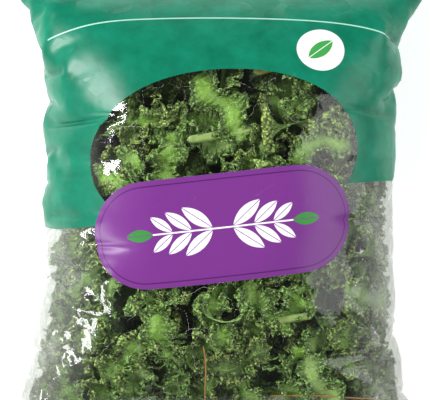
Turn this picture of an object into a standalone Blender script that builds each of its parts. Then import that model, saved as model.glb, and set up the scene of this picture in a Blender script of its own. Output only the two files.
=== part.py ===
"""A sealed pillow bag of chopped curly kale, lying on its back.

Metres, +Z up. X is the bag's width, Y its length with the top seal at +Y, and the table is at Z = 0.
The film is one tube of plastic, welded across both ends, with its lengthwise fin seal on the back.
The kale inside is loose: each chopped leaf piece and each cut stem is a solid of its own.
"""

import math

import bpy
import numpy as np

# The pouch
FLAT_WIDTH = 0.250  # across the end seals, where the film lies flat
MID_WIDTH = 0.208  # across the middle, where the fill draws the sides in
BAG_LENGTH = 0.288  # over both end seals, as it lies
BAG_HEIGHT = 0.080  # table to the crown of the front
SEAL_DEPTH = 0.011  # welded band at each end
SEAL_RISE = 0.017  # height of the end seals above the table
SIDE_RISE = 0.030  # height of the side folds at the middle
BACK_PRESS = 0.014  # how far the table pushes the back in, which makes the flat the bag rests on
FILM = 0.0006  # wall thickness
LINING_DOME = 0.0002  # how much thicker the film is in the middle of the back
FIN_WIDTH = 0.012  # lengthwise fin seal, folded flat against the back
FIN_RELIEF = 0.0008
VENT_SIZE = 0.006
VENT_PLACES = (-0.47, 0.47)  # share of the half width, in the back
VENT_Y = 0.1215  # just below the top seal
CRIMP_RELIEF = 0.0004
CRIMP_ROWS = 5

# How fast the sides spread towards each end, and how the cross-section rounds off
FLARE_BOTTOM = 2.2
FLARE_TOP = 8.0
LENGTH_POWER = 2.6
LENGTH_ROUND = 0.72
CROSS_POWER = 2.3
CROSS_ROUND = 0.62

# Creases: puckers along the side folds and pleats that fan out of the end seals
SIDE_PUCKER = 0.0012
SIDE_PUCKER_LENGTH = 0.034
PLEAT_HEIGHT = 0.0026
PLEAT_WIDTH = 0.050
PLEAT_REACH = 0.030

FILM_COLUMNS = 20
FILM_ROWS = 20
PACKING = 0.8  # how much closer the film's columns and rows lie at its sides and ends, from 0 to 1

# The fill
FILL_LOW = -0.120  # where the kale starts above the bottom seal
FILL_HIGH = 0.106  # where it stops below the top seal
FILL_INSET = 0.0032  # room between the film and the kale
FILL_SIDE = 0.93  # share of the half width that the kale reaches
KALE_ROWS = 6
KALE_COLUMNS = 5
TWO_LAYERS_OVER = 0.050  # a cell thicker than this holds two pieces, one on the other
CELL_FILL = 0.93  # share of its cell that a piece takes
LEAF = 0.0006  # blade thickness
RIB = 0.0022  # extra thickness along the midrib
LEAF_STEPS = 10  # along the midrib
LEAF_COLUMNS = (-1.0, -0.55, 0.0, 0.55, 1.0)  # from one margin across the midrib to the other
WAVES = ((46.0, 1.35), (20.0, 3.0))  # swing of the blade in degrees, and waves along it
SEED = 20

STEM_CELLS = ((1, 3), (2, 1), (4, 2), (5, 3))  # row and column of the cells with a cut stem on top
STEM_RADIUS = 0.0026
STEM_SIDES = 8
STEM_STEPS = 5
STEM_LAYER = 0.62  # share of the cell's height left to the leaf under a stem

FILM_COLOUR = (0.10, 0.52, 0.42, 1.0)
LEAF_COLOUR = (0.10, 0.22, 0.05, 1.0)
STEM_COLOUR = (0.42, 0.55, 0.22, 1.0)


def clear_scene():
    for item in list(bpy.data.objects):
        bpy.data.objects.remove(item)


def material(name, colour, roughness):
    made = bpy.data.materials.new(name)
    made.use_nodes = True
    shader = made.node_tree.nodes["Principled BSDF"]
    shader.inputs["Base Color"].default_value = colour
    shader.inputs["Roughness"].default_value = roughness
    shader.inputs["Metallic"].default_value = 0.0
    return made


def add_mesh(name, points, faces, finish):
    """One named object from an array of points and a list of faces, shaded smooth."""
    mesh = bpy.data.meshes.new(name)
    mesh.from_pydata(points.tolist(), [], [tuple(int(i) for i in face) for face in faces])
    mesh.materials.append(finish)
    mesh.shade_smooth()
    made = bpy.data.objects.new(name, mesh)
    bpy.context.scene.collection.objects.link(made)
    return made


def end_share(y):
    """0 at the middle of the length and 1 at the inner edge of an end seal."""
    return np.clip(np.abs(y) / (BAG_LENGTH / 2 - SEAL_DEPTH), 0.0, 1.0)


def half_width(y):
    """The sides run straight past the fill and spread to the flat width at the seals."""
    flare = np.where(y < 0, FLARE_BOTTOM, FLARE_TOP)
    share = end_share(y)
    spread = (FLAT_WIDTH - MID_WIDTH) / 2 * share**flare
    pucker = SIDE_PUCKER * np.sin(2 * math.pi * y / SIDE_PUCKER_LENGTH) * (1 - share**4)
    return MID_WIDTH / 2 + spread + pucker


def fullness(y):
    """Share of the full thickness left at y: 1 at the middle and 0 at the seals."""
    return (1 - end_share(y) ** LENGTH_POWER) ** LENGTH_ROUND


def roundness(across):
    """Share of the thickness left across the width: 1 on the centre line and 0 at the side folds."""
    return (1 - np.abs(across) ** CROSS_POWER) ** CROSS_ROUND


def fold_height(y):
    """Height of the side folds, and of the seals at the ends."""
    return SEAL_RISE + (SIDE_RISE - SEAL_RISE) * (1 - end_share(y) ** 2)


def across_to_x(across, y):
    """Lines near the centre run straight along the bag, and the outer ones spread with the sides."""
    return across * MID_WIDTH / 2 + (half_width(y) - MID_WIDTH / 2) * across * np.abs(across)


def pleats(x, y):
    """Low folds along Y that start at the end seals and die out towards the middle."""
    from_seal = BAG_LENGTH / 2 - SEAL_DEPTH - np.abs(y)
    fade = np.exp(-np.maximum(from_seal, 0) / PLEAT_REACH) * np.clip(from_seal / PLEAT_REACH, 0, 1)
    return PLEAT_HEIGHT * np.cos(2 * math.pi * x / PLEAT_WIDTH + 1.1) * fade * math.e


def heights(across, y, inset=0.0):
    """Height of the front and of the back of the bag, each moved in by inset."""
    x = across_to_x(across, y)
    fold = fold_height(y)
    room = fullness(y) * roundness(across)
    fold = fold + 0.5 * pleats(x, y)
    front = fold + FILM + (BAG_HEIGHT - SIDE_RISE - FILM) * room
    front = front + 0.5 * pleats(x, y) * np.minimum(3 * room, 1.0)
    back = fold - FILM - (SIDE_RISE + BACK_PRESS) * room
    return front - inset, np.maximum(back, 0.0) + inset


def packed(count):
    """Values from -1 to 1 in count steps, which shorten towards both ends."""
    share = np.sin(np.linspace(-1, 1, count + 1) * PACKING * math.pi / 2)
    return share / share[-1]


def with_vent_edges(values, centre, size):
    """The values with the two edges of a vent in place of those close to its middle."""
    kept = values[np.abs(values - centre) > size]
    return np.sort(np.append(kept, (centre - size / 2, centre + size / 2)))


def film_columns():
    """Columns packed closer towards the side folds, with the fin's free edge and the vents' edges."""
    across = packed(FILM_COLUMNS)
    for centre in VENT_PLACES:
        across = with_vent_edges(across, centre, VENT_SIZE / (MID_WIDTH / 2))
    fin_edge = FIN_WIDTH / (MID_WIDTH / 2)
    fin_foot = (FIN_WIDTH + FIN_RELIEF) / (MID_WIDTH / 2)
    return np.sort(np.append(across, (fin_edge, fin_foot)))


def film_rows():
    """Rows of the outer skin: the pouch, closer together near the ends, then the crimped bands."""
    inner = BAG_LENGTH / 2 - SEAL_DEPTH
    pouch = with_vent_edges(inner * packed(FILM_ROWS), VENT_Y, VENT_SIZE)
    band = inner + SEAL_DEPTH * np.arange(1, CRIMP_ROWS + 1) / CRIMP_ROWS
    return np.concatenate([-band[::-1], pouch, band])


def skin(rows, columns):
    """The outer skin as two grids, front and back, each rows by columns by 3."""
    across, y = np.meshgrid(columns, rows)
    front, back = heights(across, y)
    x = across_to_x(across, y)
    on_fin = (x > -1e-9) & (x < FIN_WIDTH + FIN_RELIEF / 2)
    back = np.where(on_fin, np.maximum(back - FIN_RELIEF, 0.0), back)
    in_band = np.abs(y) > BAG_LENGTH / 2 - SEAL_DEPTH + 1e-9
    ridge = CRIMP_RELIEF * (np.round((np.abs(y) - BAG_LENGTH / 2) / SEAL_DEPTH * CRIMP_ROWS) % 2)
    front = np.where(in_band, front + ridge, front)
    back = np.where(in_band, back + ridge, back)
    return np.stack([x, y, front], -1), np.stack([x, y, back], -1)


def grid_normals(grid):
    """Unit normals of a grid of points, from the differences along its rows and columns."""
    along = np.gradient(grid, axis=0)
    across = np.gradient(grid, axis=1)
    normal = np.cross(across, along)
    return normal / np.linalg.norm(normal, axis=-1, keepdims=True)


def lining(front, back):
    """The inner skin: the outer one moved in by the wall, and pinched shut at the seals and folds."""
    front_in = front - FILM * grid_normals(front)
    back_in = back + FILM * grid_normals(back)
    middle = (front[..., 2] + back[..., 2]) / 2
    slit = FILM / 4
    # A flat lining would have facets in one plane, which merge into slivers.
    from_middle = (back[..., 0] / FLAT_WIDTH) ** 2 + (back[..., 1] / BAG_LENGTH) ** 2
    back_in[..., 2] += LINING_DOME * (1 - from_middle)
    front_in[..., 2] = np.maximum(front_in[..., 2], middle + slit)
    back_in[..., 2] = np.minimum(back_in[..., 2], middle - slit)
    for grid, sign in ((front_in, 1), (back_in, -1)):
        for edge, inwards in ((0, 1), (-1, -1)):
            grid[:, edge, 0] = front[:, edge, 0] + inwards * 1.6 * FILM
            grid[:, edge, 1] = front[:, edge, 1]
            grid[:, edge, 2] = middle[:, edge] + sign * slit
            grid[edge, :, 1] = front[edge, :, 1] + inwards * 1.6 * FILM
            grid[edge, :, 2] = middle[edge] + sign * slit
    return front_in, back_in


def split_quad(corners, to_corner):
    """Two triangles of a quad, cut along the diagonal that runs to the bag's nearest corner."""
    a, b, c, d = corners
    return [(a, b, c), (a, c, d)] if to_corner else [(a, b, d), (b, c, d)]


def pouch_faces(front, back, vents, outwards):
    """Faces that close a front and a back grid of point numbers into one skin, but for its vents."""
    rows, columns = front.shape
    faces = []
    for j in range(rows - 1):
        for i in range(columns - 1):
            same = (2 * j + 1 < rows) == (2 * i + 1 < columns)
            here, right = front[j : j + 2, i], front[j : j + 2, i + 1]
            faces += split_quad((here[0], right[0], right[1], here[1]), same)
            if (j, i) not in vents:
                faces += split_quad(quad_corners(back, j, i), same)
        faces.append((front[j, 0], front[j + 1, 0], back[j + 1, 0], back[j, 0]))
        faces.append((front[j, -1], back[j, -1], back[j + 1, -1], front[j + 1, -1]))
    for i in range(columns - 1):
        faces.append((front[0, i], back[0, i], back[0, i + 1], front[0, i + 1]))
        faces.append((front[-1, i], front[-1, i + 1], back[-1, i + 1], back[-1, i]))
    return faces if outwards else [face[::-1] for face in faces]


def quad_corners(grid, j, i):
    """Corners of a quad of the back, in the order that faces down."""
    return grid[j, i], grid[j + 1, i], grid[j + 1, i + 1], grid[j, i + 1]


def vent_walls(outer, inner):
    """The wall round a vent, between the corners of its mouth outside and inside."""
    around = range(4)
    return [(outer[k], outer[k - 3], inner[k - 3], inner[k]) for k in around]


def build_film(finish):
    """The pouch, with its end bands, its fin and its two vents."""
    rows, columns = film_rows(), film_columns()
    front, back = skin(rows, columns)
    pouch = slice(CRIMP_ROWS, len(rows) - CRIMP_ROWS)
    front_in, back_in = lining(front[pouch], back[pouch])
    points = np.concatenate([grid.reshape(-1, 3) for grid in (front, back, front_in, back_in)])
    outer = np.arange(2 * front[..., 0].size).reshape(2, *front.shape[:2])
    inner = outer.size + np.arange(2 * front_in[..., 0].size).reshape(2, *front_in.shape[:2])
    vent_row = int(np.argmin(np.abs(rows - (VENT_Y - VENT_SIZE / 2))))
    low_edges = [centre - VENT_SIZE / MID_WIDTH for centre in VENT_PLACES]
    vent_columns = [int(np.argmin(np.abs(columns - edge))) for edge in low_edges]
    outer_vents = [(vent_row, column) for column in vent_columns]
    inner_vents = [(vent_row - CRIMP_ROWS, column) for column in vent_columns]
    faces = pouch_faces(*outer, outer_vents, True) + pouch_faces(*inner, inner_vents, False)
    for mouth, inside in zip(outer_vents, inner_vents):
        faces += vent_walls(quad_corners(outer[1], *mouth), quad_corners(inner[1], *inside))
    return add_mesh("bag_film", points, faces, finish)


def cells():
    """The fill's cells as (row, column, layer, low corner, high corner) in across, y and level.

    across runs from -1 to 1 over the width, and level from -1 at the back to 1 at the front.
    The cuts between columns move a little from row to row, as in brickwork.
    """
    draw = np.random.default_rng(SEED)
    row_cuts = np.linspace(FILL_LOW, FILL_HIGH, KALE_ROWS + 1)
    made = []
    for row in range(KALE_ROWS):
        cuts = np.linspace(-FILL_SIDE, FILL_SIDE, KALE_COLUMNS + 1)
        cuts[1:-1] += draw.uniform(-0.06, 0.06, KALE_COLUMNS - 1)
        for column in range(KALE_COLUMNS):
            centre = (cuts[column] + cuts[column + 1]) / 2
            middle = (row_cuts[row] + row_cuts[row + 1]) / 2
            front, back = heights(np.array(centre), np.array(middle), FILL_INSET)
            split = draw.uniform(-0.15, 0.15)
            levels = (-1.0, split, 1.0) if front - back > TWO_LAYERS_OVER else (-1.0, 1.0)
            for layer in range(len(levels) - 1):
                low = (cuts[column], row_cuts[row], levels[layer])
                high = (cuts[column + 1], row_cuts[row + 1], levels[layer + 1])
                made.append((row, column, layer == len(levels) - 2, low, high))
    return made


def into_cell(local, low, high):
    """Carries points of a cube of -1 to 1 into a cell of the fill, bent as the bag is bent."""
    share = (local + 1) / 2
    across, y, level = (low[k] + (high[k] - low[k]) * share[..., k] for k in range(3))
    front, back = heights(across, y, FILL_INSET)
    z = back + (front - back) * (level + 1) / 2
    return np.stack([across_to_x(across, y), y, z], -1)


def leaf_in_cube(draw, steps, columns):
    """Middle surface of a chopped leaf in a cube of -1 to 1: a midrib with a ruffled blade each side.

    Each point swings round the midrib by an angle that waves along it and grows towards the margin.
    The margin reaches out to the sides of the cube, so the piece fills its cell.
    """
    along = np.linspace(-CELL_FILL, CELL_FILL, steps + 1)[:, None]
    offset = np.array(columns)[None, :]
    reach = np.abs(offset)
    swing = np.zeros((steps + 1, offset.shape[1]))
    for side in (-1, 1):
        for degrees, waves in WAVES:
            size = math.radians(degrees) * draw.uniform(0.85, 1.1)
            turn = math.pi * waves * draw.uniform(0.85, 1.15)
            phase = draw.uniform(0, 2 * math.pi)
            swing += np.where(offset * side > 0, size * np.sin(turn * along + phase), 0)
    twist = draw.uniform(-0.5, 0.5) * along
    bow = draw.uniform(-0.2, 0.2, 2) * np.cos(math.pi / 2 * along)
    angle = np.where(offset < 0, math.pi, 0) + twist + swing * reach**1.3
    out, up = np.cos(angle), np.sin(angle)
    room_out = 1 - bow[..., :1] * np.sign(out)
    room_up = 1 - bow[..., 1:] * np.sign(up)
    margin = ((np.abs(out) / room_out) ** 4 + (np.abs(up) / room_up) ** 4) ** -0.25
    radius = CELL_FILL * reach * margin
    local = np.stack(
        [
            along + 0 * radius,
            CELL_FILL * bow[..., :1] + radius * out,
            CELL_FILL * bow[..., 1:] + radius * up,
        ],
        -1,
    )
    local = np.roll(local, draw.integers(0, 3), axis=-1)
    return local * draw.choice((-1.0, 1.0), 3)


def thick_sheet(grid, half):
    """Both faces of a sheet: its middle surface moved half its thickness each way.

    Where the sheet folds sharply the move is longer, so that each face keeps its distance.
    """
    normal = grid_normals(grid)
    edge = np.cross(np.diff(grid, axis=0)[:, :-1], np.diff(grid, axis=1)[:-1])
    edge /= np.linalg.norm(edge, axis=-1, keepdims=True)
    lean = np.ones(grid.shape[:2])
    for rows in (slice(0, -1), slice(1, None)):
        for columns in (slice(0, -1), slice(1, None)):
            near = np.abs((normal[rows, columns] * edge).sum(-1))
            lean[rows, columns] = np.minimum(lean[rows, columns], near)
    move = normal * (half / np.maximum(lean, 0.5))[..., None]
    return grid + move, grid - move


def sheet_faces(rows, columns):
    """Triangles of a closed sheet, split alike on both faces, with its rim."""
    index = np.arange(2 * rows * columns).reshape(2, rows, columns)
    upper, lower = index
    faces = []
    for j in range(rows - 1):
        for i in range(columns - 1):
            faces += [(upper[j, i], upper[j, i + 1], upper[j + 1, i + 1])]
            faces += [(upper[j, i], upper[j + 1, i + 1], upper[j + 1, i])]
            faces += [(lower[j, i], lower[j + 1, i + 1], lower[j, i + 1])]
            faces += [(lower[j, i], lower[j + 1, i], lower[j + 1, i + 1])]
    rim = [(j, 0) for j in range(rows)] + [(rows - 1, i) for i in range(1, columns)]
    rim += [(j, columns - 1) for j in range(rows - 2, -1, -1)]
    rim += [(0, i) for i in range(columns - 2, 0, -1)]
    for here, there in zip(rim, rim[1:] + rim[:1]):
        faces += [(upper[here], upper[there], lower[there])]
        faces += [(upper[here], lower[there], lower[here])]
    return faces


def outwards(points, faces):
    """The faces, turned round if together they enclose a negative volume."""
    corners = points[np.array(faces)]
    volume = np.linalg.det(corners - points.mean(0)).sum()
    return faces if volume > 0 else [face[::-1] for face in faces]


def build_leaf(name, draw, low, high, finish):
    """One chopped leaf piece in its cell."""
    grid = into_cell(leaf_in_cube(draw, LEAF_STEPS, LEAF_COLUMNS), low, high)
    reach = np.abs(np.array(LEAF_COLUMNS))[None, :]
    half = (LEAF + RIB * (1 - reach) ** 3) / 2 + 0 * grid[..., 0]
    upper, lower = thick_sheet(grid, half)
    points = np.concatenate([upper.reshape(-1, 3), lower.reshape(-1, 3)])
    faces = outwards(points, sheet_faces(*grid.shape[:2]))
    return add_mesh(name, points, faces, finish)


def build_stem(name, draw, low, high, finish):
    """A cut stem lying on the leaf in the same cell, close under the film."""
    ends = draw.uniform(-0.5, 0.5, 2)
    share = np.linspace(-1, 1, STEM_STEPS + 1)
    local = np.stack([share * 0.85, ends[0] + (ends[1] - ends[0]) * (share + 1) / 2, 0 * share], -1)
    line = into_cell(local, low, high)
    way = np.gradient(line, axis=0)
    way /= np.linalg.norm(way, axis=1, keepdims=True)
    side = np.cross(way, (0, 0, 1))
    side /= np.linalg.norm(side, axis=1, keepdims=True)
    up = np.cross(side, way)
    turn = np.arange(STEM_SIDES) * 2 * math.pi / STEM_SIDES
    radius = STEM_RADIUS * np.linspace(1.0, 0.8, STEM_STEPS + 1)[:, None, None]
    ring = np.cos(turn)[None, :, None] * side[:, None] + np.sin(turn)[None, :, None] * up[:, None]
    points = (line[:, None] + radius * ring).reshape(-1, 3)
    faces = []
    for j in range(STEM_STEPS):
        for i in range(STEM_SIDES):
            k = (i + 1) % STEM_SIDES
            here, there = j * STEM_SIDES, (j + 1) * STEM_SIDES
            faces.append((here + i, there + i, there + k, here + k))
    faces.append(tuple(range(STEM_SIDES)))
    faces.append(tuple(range(STEM_STEPS * STEM_SIDES, (STEM_STEPS + 1) * STEM_SIDES))[::-1])
    made = add_mesh(name, points, faces, finish)
    made.data.set_sharp_from_angle(angle=math.radians(50))
    return made


def build_kale(leaf_finish, stem_finish):
    """Every leaf piece and stem, cell by cell."""
    leaves, stems = 0, 0
    for row, column, on_top, low, high in cells():
        draw = np.random.default_rng((SEED, row, column, int(on_top)))
        if on_top and (row, column) in STEM_CELLS:
            level = low[2] + (high[2] - low[2]) * STEM_LAYER
            stems += 1
            stem_low = (low[0], low[1], level)
            build_stem(f"kale_stem_{stems:02d}", draw, stem_low, high, stem_finish)
            high = (high[0], high[1], level)
        leaves += 1
        build_leaf(f"kale_leaf_{leaves:02d}", draw, low, high, leaf_finish)


def build():
    clear_scene()
    build_film(material("film", FILM_COLOUR, 0.25))
    build_kale(material("kale_leaf", LEAF_COLOUR, 0.55), material("kale_stem", STEM_COLOUR, 0.5))


build()
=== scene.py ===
"""Looks of a sealed pillow bag of chopped curly kale that lies on its back.

The film is relaxed over its fill as a tube of thin plastic, and is printed by a pattern on its flat
width and length. Each kale piece of the frame is made again with its fine ruffles, and loose scraps
fill the room between them.
"""

import math

import bpy
import numpy as np
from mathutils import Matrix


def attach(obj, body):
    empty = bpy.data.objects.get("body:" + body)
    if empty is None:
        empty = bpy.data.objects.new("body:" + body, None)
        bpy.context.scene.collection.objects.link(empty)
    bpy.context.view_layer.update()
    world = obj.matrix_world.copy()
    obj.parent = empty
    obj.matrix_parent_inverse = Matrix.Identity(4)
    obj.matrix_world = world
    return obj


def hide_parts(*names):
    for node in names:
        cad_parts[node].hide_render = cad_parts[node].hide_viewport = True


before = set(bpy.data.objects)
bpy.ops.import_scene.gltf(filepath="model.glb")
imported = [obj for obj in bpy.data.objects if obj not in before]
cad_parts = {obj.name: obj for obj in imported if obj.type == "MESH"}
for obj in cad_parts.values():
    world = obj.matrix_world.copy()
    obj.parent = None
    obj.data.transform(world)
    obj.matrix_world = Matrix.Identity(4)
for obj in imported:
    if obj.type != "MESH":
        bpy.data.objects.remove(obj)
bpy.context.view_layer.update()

# The pouch, as in the frame
FLAT_WIDTH = 0.250  # laid flat, across the end seals
MID_WIDTH = 0.208
BAG_LENGTH = 0.288
BAG_HEIGHT = 0.080
SEAL_DEPTH = 0.011
SEAL_RISE = 0.017
SIDE_RISE = 0.030
BACK_PRESS = 0.014
FILM = 0.0006
FIN_WIDTH = 0.012
VENT_SIZE = 0.006
VENT_X = 0.049
VENT_Y = 0.1215
FLARE_BOTTOM = 2.2
FLARE_TOP = 8.0
LENGTH_POWER = 2.6
LENGTH_ROUND = 0.72
CROSS_POWER = 2.3
CROSS_ROUND = 0.62
SIDE_PUCKER = 0.0012
SIDE_PUCKER_LENGTH = 0.034
PLEAT_HEIGHT = 0.0026
PLEAT_WIDTH = 0.050
PLEAT_REACH = 0.030

# The fill, as in the frame
FILL_LOW = -0.120
FILL_HIGH = 0.106
FILL_INSET = 0.0032
FILL_SIDE = 0.93
KALE_ROWS = 6
KALE_COLUMNS = 5
TWO_LAYERS_OVER = 0.050
CELL_FILL = 0.93
WAVES = ((46.0, 1.35), (20.0, 3.0))
SEED = 20
STEM_CELLS = ((1, 3), (2, 1), (4, 2), (5, 3))
STEM_RADIUS = 0.0026
STEM_LAYER = 0.62

# The film's real length between its end seals. Round the crown it is taut, and down the sides the
# same length has to fit in less, which is what puckers them.
POUCH_LENGTH = 0.310
PRINT_LENGTH = 0.340  # of the print's own coordinates, a little over the film's length


def linear(code):
    """A colour given as sRGB hex, turned to linear light."""
    parts = [int(code[k : k + 2], 16) / 255 for k in (1, 3, 5)]
    parts = [c / 12.92 if c <= 0.04045 else ((c + 0.055) / 1.055) ** 2.4 for c in parts]
    return (*parts, 1.0)


def add(tree, kind, inputs=(), **settings):
    """Adds one node. Settings are its own properties, and inputs gives its sockets in order or by
    name: each a number, a colour, another node or one of that node's outputs."""
    node = tree.nodes.new("ShaderNode" + kind)
    for name, value in settings.items():
        setattr(node, name, value)
    for socket, value in inputs.items() if isinstance(inputs, dict) else enumerate(inputs):
        if isinstance(value, bpy.types.Node):
            value = next(output for output in value.outputs if output.enabled)
        if isinstance(value, bpy.types.NodeSocket):
            tree.links.new(value, node.inputs[socket])
        else:
            node.inputs[socket].default_value = value
    return node


def new_material(name):
    """An empty material and its node tree."""
    made = bpy.data.materials.new(name)
    made.use_nodes = True
    made.node_tree.nodes.clear()
    return made, made.node_tree


def quad_piece(name, points, quads, finish, uv=None, values=None):
    """One smooth-shaded piece from arrays: points, quads as point numbers, a UV pair for each corner
    and named numbers for each point."""
    mesh = bpy.data.meshes.new(name)
    mesh.vertices.add(len(points))
    mesh.vertices.foreach_set("co", np.asarray(points, np.float32).ravel())
    mesh.loops.add(quads.size)
    mesh.loops.foreach_set("vertex_index", np.asarray(quads, np.int32).ravel())
    mesh.polygons.add(len(quads))
    mesh.polygons.foreach_set("loop_start", np.arange(0, quads.size, 4, dtype=np.int32))
    mesh.update(calc_edges=True)
    mesh.shade_smooth()
    if uv is not None:
        layer = mesh.uv_layers.new(name="flat")
        layer.data.foreach_set("uv", np.asarray(uv, np.float32).ravel())
    for key, numbers in (values or {}).items():
        layer = mesh.attributes.new(key, "FLOAT", "POINT")
        layer.data.foreach_set("value", np.asarray(numbers, np.float32).ravel())
    mesh.materials.append(finish)
    mesh.validate()
    piece = bpy.data.objects.new(name, mesh)
    bpy.context.scene.collection.objects.link(piece)
    return piece


# The bag's shape: the formulas that the frame's solids follow


def end_share(y):
    """0 at the middle of the length and 1 at the inner edge of an end seal."""
    return np.clip(np.abs(y) / (BAG_LENGTH / 2 - SEAL_DEPTH), 0.0, 1.0)


def half_width(y):
    """The sides run straight past the fill and spread to the flat width at the seals."""
    share = end_share(y)
    spread = (FLAT_WIDTH - MID_WIDTH) / 2 * share ** np.where(y < 0, FLARE_BOTTOM, FLARE_TOP)
    pucker = SIDE_PUCKER * np.sin(2 * math.pi * y / SIDE_PUCKER_LENGTH) * (1 - share**4)
    return MID_WIDTH / 2 + spread + pucker


def across_to_x(across, y):
    """Lines near the centre run straight along the bag, and the outer ones spread with the sides."""
    return across * MID_WIDTH / 2 + (half_width(y) - MID_WIDTH / 2) * across * np.abs(across)


def x_to_across(x, y):
    """The inverse of across_to_x: the positive root of its quadratic, with the sign of x."""
    spread = half_width(y) - MID_WIDTH / 2
    spread = np.where(np.abs(spread) < 1e-6, 1e-6, spread)
    straight = MID_WIDTH / 2
    root = np.sqrt(np.maximum(straight**2 + 4 * spread * np.abs(x), 0))
    return np.sign(x) * (root - straight) / (2 * spread)


def pleats(x, y):
    """Low folds along Y that start at the end seals and die out towards the middle."""
    from_seal = BAG_LENGTH / 2 - SEAL_DEPTH - np.abs(y)
    fade = np.exp(-np.maximum(from_seal, 0) / PLEAT_REACH) * np.clip(from_seal / PLEAT_REACH, 0, 1)
    return PLEAT_HEIGHT * np.cos(2 * math.pi * x / PLEAT_WIDTH + 1.1) * fade * math.e


def heights(across, y, inset=0.0):
    """Height of the front and of the back: the fold's height plus or minus a share of the fullness,
    which falls off by a power law towards the ends and the sides. The table flattens the back."""
    across = np.clip(across, -1, 1)
    room = (1 - end_share(y) ** LENGTH_POWER) ** LENGTH_ROUND
    room = room * (1 - np.abs(across) ** CROSS_POWER) ** CROSS_ROUND
    fold = SEAL_RISE + (SIDE_RISE - SEAL_RISE) * (1 - end_share(y) ** 2)
    waves = pleats(across_to_x(across, y), y)
    fold = fold + 0.5 * waves
    front = fold + FILM + (BAG_HEIGHT - SIDE_RISE - FILM) * room
    front = front + 0.5 * waves * np.minimum(3 * room, 1.0)
    back = fold - FILM - (SIDE_RISE + BACK_PRESS) * room
    return front - inset, np.maximum(back, 0.0) + inset


# The film, relaxed over its fill

LUMPS = ((0.0030, 0.055), (0.0022, 0.030), (0.0012, 0.018))  # height and width of the fill's lumps
FILL_LIMIT = 0.95  # share of the width that the fill props up
FILL_END = 0.125  # how far along the bag it does
BACK_GAP = 0.0015  # from the fill to the back's formula
THIN_FILL = 0.002  # thinner than this, the fill props nothing up
FRONT_SLACK = 0.0050  # how far the fill's mean surface lies under the full shape
LEAN = 0.005  # how far the bottom end leans to the left
LEAN_START = 0.02  # how far below the middle the lean starts
LEAN_LENGTH = 0.085  # and over what length it grows
GLIDE = 0.5  # share of a point's speed that it keeps
WEIGHT = 0.15  # of the film, as a share of the pressure
PULLS = 6  # rounds of pulling pairs to their distance in each step
PLAY = 0.004  # how far the sides and the seals may give
OVER_TOP = 0.0015  # how far the film may rise over the bag's height
SEAL_HEIGHTS = (0.010, 0.020)  # between which a seal may settle
FLOOR_GAP = 0.0002  # from the table to the film
FIN_ROOM = 0.0008  # more of it, where the fin lies
BACK_LOWEST = 0.0003  # how near the table the fill may press the back
START_GRID = (38, 64)  # rows and columns of the first tube
JITTER = 0.0008  # by which its points start off their places
STRETCH = 1.0  # how firmly a stretched pair of points is pulled back
SQUEEZE = 0.3  # how firmly a squeezed pair is pushed apart: film buckles instead
SHEAR = (0.35, 0.10)  # the same two along the diagonals
LEVELS = (  # steps, pressure per step and stiffness in bending, on grids twice as fine each time
    (120, 0.000030, 0.02),
    (100, 0.000015, 0.01),
    (44, 0.000010, 0.01),
)


def pouch_start(rows, columns):
    """The tube on the formula's surface: each row's points lie evenly along the front from the left
    fold to the right one, and back along the back."""
    half = columns // 2
    y = (BAG_LENGTH / 2 - SEAL_DEPTH) * np.linspace(-1, 1, rows)
    across = -np.cos(np.linspace(0, math.pi, 401))
    tube = np.zeros((rows, columns, 3))
    for row, at in enumerate(y):
        x = across_to_x(across, at)
        for z, target in zip(heights(across, at), (slice(0, half + 1), slice(half + 1, None))):
            arc = np.concatenate([[0], np.cumsum(np.hypot(np.diff(x), np.diff(z)))])
            even = np.linspace(0, arc[-1], half + 1)
            line = np.stack([np.interp(even, arc, x), 0 * even + at, np.interp(even, arc, z)], -1)
            tube[row, target] = line if target.start == 0 else line[-2:0:-1]
    return tube


def hold(near, far, rest, stretched, squeezed):
    """Moves each pair of points along its own line, both by half the error in their distance."""
    gap = far - near
    length = np.sqrt((gap**2).sum(-1, keepdims=True)) + 1e-9
    error = (length - rest) / length
    move = gap * error * np.where(error > 0, stretched, squeezed) / 2
    return near + move, far - move


def side_limits(y):
    """The bag's left and right side: the formula's, moved left together towards the bottom end."""
    lean = LEAN * np.clip((-y - LEAN_START) / LEAN_LENGTH, 0, 1) ** 1.5
    return -half_width(y) - lean, half_width(y) - lean


def fill_lumps(x, y):
    """Waves of three sizes in random directions, which stand for the leaves under the film."""
    draw = np.random.default_rng(5)
    total = np.zeros_like(x)
    for size, width in LUMPS:
        for _ in range(5):
            turn, phase = draw.uniform(0, 2 * math.pi, 2)
            way = x * math.cos(turn) + y * math.sin(turn)
            total += 0.6 * size * np.sin(way * 2 * math.pi / (width * draw.uniform(0.8, 1.3)) + phase)
    return total


def fill_surface(x, y):
    """Height of the fill under the front and above the back, and where there is any."""
    across = x_to_across(x, y) / FILL_LIMIT
    along = np.abs(y) / FILL_END
    front, back = heights(across, y / FILL_LIMIT)
    fade = np.clip((1 - np.abs(across)) * 4, 0, 1) * np.clip((1 - along) * 4, 0, 1)
    front = front - FRONT_SLACK + fill_lumps(x, y) * fade
    back = back + BACK_GAP
    return front, back, (np.abs(across) < 1) & (along < 1) & (front - back > THIN_FILL)


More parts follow.
